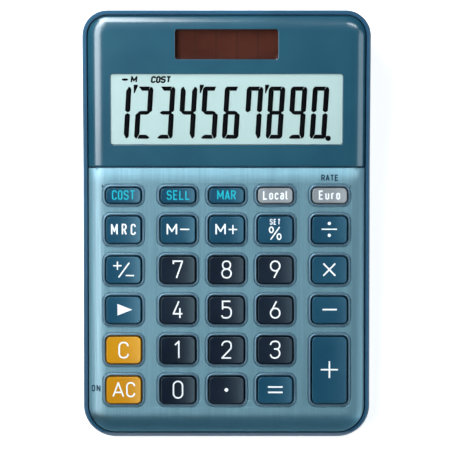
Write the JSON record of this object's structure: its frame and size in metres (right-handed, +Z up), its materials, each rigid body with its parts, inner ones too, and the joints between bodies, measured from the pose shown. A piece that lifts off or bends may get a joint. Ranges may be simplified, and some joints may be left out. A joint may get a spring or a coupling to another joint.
{
  "type": "desktop calculator",
  "caption": "Wedge-shaped desktop calculator with a sloping digital display, a solar window and a grid of rectangular keys in a brushed plate.",
  "frame": {"origin": "centre of the footprint, on the desk under the feet", "axes": "+X to the right of the user, +Y from the user to the display end, +Z up"},
  "size_m": [0.103, 0.153, 0.0306],
  "materials": {
    "lower_case_plastic": "fine textured",
    "upper_case_plastic": "moulded, satin",
    "key_panel_metal": "brushed, anodised light blue",
    "display_bezel_plastic": "gloss",
    "clear_window": "clear",
    "polariser": "satin film",
    "lcd_glass": "clear",
    "reflector": "satin film",
    "frame_plastic": "moulded",
    "ribbon_film": "film",
    "solar_cell": "amorphous cell on glass",
    "lead_insulation": "moulded",
    "mat_rubber": "moulded",
    "board_laminate": "laminate",
    "chip_resin": "cast",
    "capacitor_can": "sleeved",
    "cell_steel": "plated",
    "clip_metal": "stamped",
    "screw_steel": "plated",
    "foot_rubber": "moulded",
    "blue_key": "satin",
    "dark_key": "satin",
    "orange_key": "satin",
    "grey_key": "satin"
  },
  "bodies": {
    "housing": {"lower_case": "lower_case_plastic", "upper_case": "upper_case_plastic", "key_panel": "key_panel_metal", "display_bezel": "display_bezel_plastic", "lcd_window": "clear_window", "solar_window": "clear_window", "lcd_front_polariser": "polariser", "lcd_front_glass": "lcd_glass", "lcd_rear_glass": "lcd_glass", "lcd_reflector": "reflector", "lcd_frame": "frame_plastic", "lcd_ribbon": "ribbon_film", "solar_cell": "solar_cell", "solar_lead_left": "lead_insulation", "solar_lead_right": "lead_insulation", "key_mat": "mat_rubber", "main_board": "board_laminate", "chip_cover": "chip_resin", "capacitor": "capacitor_can", "battery_cell": "cell_steel", "battery_clip_negative": "clip_metal", "battery_clip_positive": "clip_metal", "board_screws": "screw_steel", "case_screws": "screw_steel", "foot_front_left": "foot_rubber", "foot_front_right": "foot_rubber", "foot_rear_left": "foot_rubber", "foot_rear_right": "foot_rubber"},
    "key_0": {"key_0": "dark_key"},
    "key_1": {"key_1": "dark_key"},
    "key_2": {"key_2": "dark_key"},
    "key_3": {"key_3": "dark_key"},
    "key_4": {"key_4": "dark_key"},
    "key_5": {"key_5": "dark_key"},
    "key_6": {"key_6": "dark_key"},
    "key_7": {"key_7": "dark_key"},
    "key_8": {"key_8": "dark_key"},
    "key_9": {"key_9": "dark_key"},
    "key_all_clear": {"key_all_clear": "orange_key"},
    "key_clear": {"key_clear": "orange_key"},
    "key_cost": {"key_cost": "blue_key"},
    "key_divide": {"key_divide": "blue_key"},
    "key_equals": {"key_equals": "blue_key"},
    "key_euro": {"key_euro": "grey_key"},
    "key_local_currency": {"key_local_currency": "grey_key"},
    "key_margin": {"key_margin": "blue_key"},
    "key_memory_minus": {"key_memory_minus": "blue_key"},
    "key_memory_plus": {"key_memory_plus": "blue_key"},
    "key_memory_recall": {"key_memory_recall": "blue_key"},
    "key_minus": {"key_minus": "blue_key"},
    "key_multiply": {"key_multiply": "blue_key"},
    "key_percent": {"key_percent": "blue_key"},
    "key_plus": {"key_plus": "blue_key"},
    "key_point": {"key_point": "dark_key"},
    "key_sell": {"key_sell": "blue_key"},
    "key_sign": {"key_sign": "blue_key"},
    "key_step_back": {"key_step_back": "blue_key"}
  },
  "joints": [
    {"name": "key_0_press", "type": "slide", "parent": "housing", "child": "key_0", "axis": [0, -0.0698, 0.9976], "range_m": [-0.0015, 0], "stiffness_N_per_m": 400, "deforming": ["key_mat"]},
    {"name": "key_1_press", "type": "slide", "parent": "housing", "child": "key_1", "axis": [0, -0.0698, 0.9976], "range_m": [-0.0015, 0], "stiffness_N_per_m": 400, "deforming": ["key_mat"]},
    {"name": "key_2_press", "type": "slide", "parent": "housing", "child": "key_2", "axis": [0, -0.0698, 0.9976], "range_m": [-0.0015, 0], "stiffness_N_per_m": 400, "deforming": ["key_mat"]},
    {"name": "key_3_press", "type": "slide", "parent": "housing", "child": "key_3", "axis": [0, -0.0698, 0.9976], "range_m": [-0.0015, 0], "stiffness_N_per_m": 400, "deforming": ["key_mat"]},
    {"name": "key_4_press", "type": "slide", "parent": "housing", "child": "key_4", "axis": [0, -0.0698, 0.9976], "range_m": [-0.0015, 0], "stiffness_N_per_m": 400, "deforming": ["key_mat"]},
    {"name": "key_5_press", "type": "slide", "parent": "housing", "child": "key_5", "axis": [0, -0.0698, 0.9976], "range_m": [-0.0015, 0], "stiffness_N_per_m": 400, "deforming": ["key_mat"]},
    {"name": "key_6_press", "type": "slide", "parent": "housing", "child": "key_6", "axis": [0, -0.0698, 0.9976], "range_m": [-0.0015, 0], "stiffness_N_per_m": 400, "deforming": ["key_mat"]},
    {"name": "key_7_press", "type": "slide", "parent": "housing", "child": "key_7", "axis": [0, -0.0698, 0.9976], "range_m": [-0.0015, 0], "stiffness_N_per_m": 400, "deforming": ["key_mat"]},
    {"name": "key_8_press", "type": "slide", "parent": "housing", "child": "key_8", "axis": [0, -0.0698, 0.9976], "range_m": [-0.0015, 0], "stiffness_N_per_m": 400, "deforming": ["key_mat"]},
    {"name": "key_9_press", "type": "slide", "parent": "housing", "child": "key_9", "axis": [0, -0.0698, 0.9976], "range_m": [-0.0015, 0], "stiffness_N_per_m": 400, "deforming": ["key_mat"]},
    {"name": "key_all_clear_press", "type": "slide", "parent": "housing", "child": "key_all_clear", "axis": [0, -0.0698, 0.9976], "range_m": [-0.0015, 0], "stiffness_N_per_m": 400, "deforming": ["key_mat"]},
    {"name": "key_clear_press", "type": "slide", "parent": "housing", "child": "key_clear", "axis": [0, -0.0698, 0.9976], "range_m": [-0.0015, 0], "stiffness_N_per_m": 400, "deforming": ["key_mat"]},
    {"name": "key_cost_press", "type": "slide", "parent": "housing", "child": "key_cost", "axis": [0, -0.0698, 0.9976], "range_m": [-0.0015, 0], "stiffness_N_per_m": 400, "deforming": ["key_mat"]},
    {"name": "key_divide_press", "type": "slide", "parent": "housing", "child": "key_divide", "axis": [0, -0.0698, 0.9976], "range_m": [-0.0015, 0], "stiffness_N_per_m": 400, "deforming": ["key_mat"]},
    {"name": "key_equals_press", "type": "slide", "parent": "housing", "child": "key_equals", "axis": [0, -0.0698, 0.9976], "range_m": [-0.0015, 0], "stiffness_N_per_m": 400, "deforming": ["key_mat"]},
    {"name": "key_euro_press", "type": "slide", "parent": "housing", "child": "key_euro", "axis": [0, -0.0698, 0.9976], "range_m": [-0.0015, 0], "stiffness_N_per_m": 400, "deforming": ["key_mat"]},
    {"name": "key_local_currency_press", "type": "slide", "parent": "housing", "child": "key_local_currency", "axis": [0, -0.0698, 0.9976], "range_m": [-0.0015, 0], "stiffness_N_per_m": 400, "deforming": ["key_mat"]},
    {"name": "key_margin_press", "type": "slide", "parent": "housing", "child": "key_margin", "axis": [0, -0.0698, 0.9976], "range_m": [-0.0015, 0], "stiffness_N_per_m": 400, "deforming": ["key_mat"]},
    {"name": "key_memory_minus_press", "type": "slide", "parent": "housing", "child": "key_memory_minus", "axis": [0, -0.0698, 0.9976], "range_m": [-0.0015, 0], "stiffness_N_per_m": 400, "deforming": ["key_mat"]},
    {"name": "key_memory_plus_press", "type": "slide", "parent": "housing", "child": "key_memory_plus", "axis": [0, -0.0698, 0.9976], "range_m": [-0.0015, 0], "stiffness_N_per_m": 400, "deforming": ["key_mat"]},
    {"name": "key_memory_recall_press", "type": "slide", "parent": "housing", "child": "key_memory_recall", "axis": [0, -0.0698, 0.9976], "range_m": [-0.0015, 0], "stiffness_N_per_m": 400, "deforming": ["key_mat"]},
    {"name": "key_minus_press", "type": "slide", "parent": "housing", "child": "key_minus", "axis": [0, -0.0698, 0.9976], "range_m": [-0.0015, 0], "stiffness_N_per_m": 400, "deforming": ["key_mat"]},
    {"name": "key_multiply_press", "type": "slide", "parent": "housing", "child": "key_multiply", "axis": [0, -0.0698, 0.9976], "range_m": [-0.0015, 0], "stiffness_N_per_m": 400, "deforming": ["key_mat"]},
    {"name": "key_percent_press", "type": "slide", "parent": "housing", "child": "key_percent", "axis": [0, -0.0698, 0.9976], "range_m": [-0.0015, 0], "stiffness_N_per_m": 400, "deforming": ["key_mat"]},
    {"name": "key_plus_press", "type": "slide", "parent": "housing", "child": "key_plus", "axis": [0, -0.0698, 0.9976], "range_m": [-0.0015, 0], "stiffness_N_per_m": 400, "deforming": ["key_mat"]},
    {"name": "key_point_press", "type": "slide", "parent": "housing", "child": "key_point", "axis": [0, -0.0698, 0.9976], "range_m": [-0.0015, 0], "stiffness_N_per_m": 400, "deforming": ["key_mat"]},
    {"name": "key_sell_press", "type": "slide", "parent": "housing", "child": "key_sell", "axis": [0, -0.0698, 0.9976], "range_m": [-0.0015, 0], "stiffness_N_per_m": 400, "deforming": ["key_mat"]},
    {"name": "key_sign_press", "type": "slide", "parent": "housing", "child": "key_sign", "axis": [0, -0.0698, 0.9976], "range_m": [-0.0015, 0], "stiffness_N_per_m": 400, "deforming": ["key_mat"]},
    {"name": "key_step_back_press", "type": "slide", "parent": "housing", "child": "key_step_back", "axis": [0, -0.0698, 0.9976], "range_m": [-0.0015, 0], "stiffness_N_per_m": 400, "deforming": ["key_mat"]}
  ]
}
